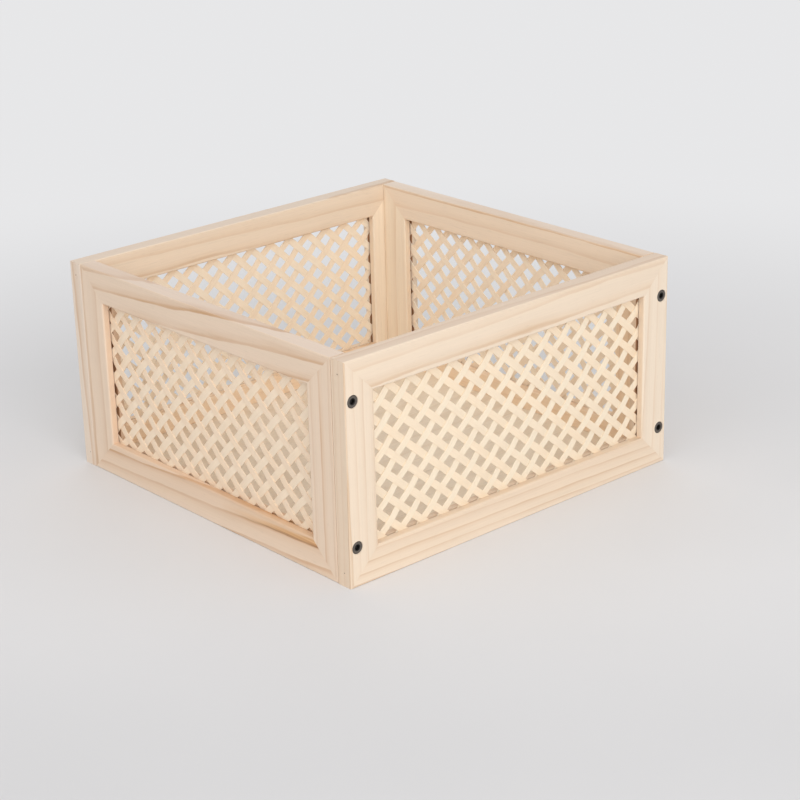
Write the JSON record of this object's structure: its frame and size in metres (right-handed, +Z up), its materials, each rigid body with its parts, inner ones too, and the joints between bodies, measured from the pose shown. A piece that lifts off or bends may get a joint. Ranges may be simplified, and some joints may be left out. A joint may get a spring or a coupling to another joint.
{
  "type": "lattice storage crate",
  "caption": "Open-topped square pine crate whose mitred frame panels hold diagonal lattices of woven flat strips, screwed together at the corners round a bottom board, for storage.",
  "frame": {"origin": "on the ground under the middle of the crate", "axes": "+X to the right as seen facing the front panel from outside, +Y from the front panel to the back panel, +Z up"},
  "size_m": [0.348, 0.348, 0.18],
  "materials": {
    "pine": "bare sanded pine",
    "strips": "bare split bamboo",
    "plywood": "bare pale plywood",
    "black_steel": "black oxide",
    "brad_steel": "bright wire, dulled"
  },
  "bodies": {
    "root": {"front_top_rail": "pine", "front_bottom_rail": "pine", "front_left_stile": "pine", "front_right_stile": "pine", "front_lattice": "strips", "front_screw_upper_left": "black_steel", "front_screw_upper_right": "black_steel", "front_screw_lower_left": "black_steel", "front_screw_lower_right": "black_steel", "front_brad_upper_left": "brad_steel", "front_brad_upper_right": "brad_steel", "front_brad_lower_left": "brad_steel", "front_brad_lower_right": "brad_steel", "right_top_rail": "pine", "right_bottom_rail": "pine", "right_left_stile": "pine", "right_right_stile": "pine", "right_lattice": "strips", "right_brad_upper_left": "brad_steel", "right_brad_upper_right": "brad_steel", "right_brad_lower_left": "brad_steel", "right_brad_lower_right": "brad_steel", "back_top_rail": "pine", "back_bottom_rail": "pine", "back_left_stile": "pine", "back_right_stile": "pine", "back_lattice": "strips", "back_screw_upper_left": "black_steel", "back_screw_upper_right": "black_steel", "back_screw_lower_left": "black_steel", "back_screw_lower_right": "black_steel", "back_brad_upper_left": "brad_steel", "back_brad_upper_right": "brad_steel", "back_brad_lower_left": "brad_steel", "back_brad_lower_right": "brad_steel", "left_top_rail": "pine", "left_bottom_rail": "pine", "left_left_stile": "pine", "left_right_stile": "pine", "left_lattice": "strips", "left_brad_upper_left": "brad_steel", "left_brad_upper_right": "brad_steel", "left_brad_lower_left": "brad_steel", "left_brad_lower_right": "brad_steel", "bottom_board": "plywood"}
  },
  "joints": []
}
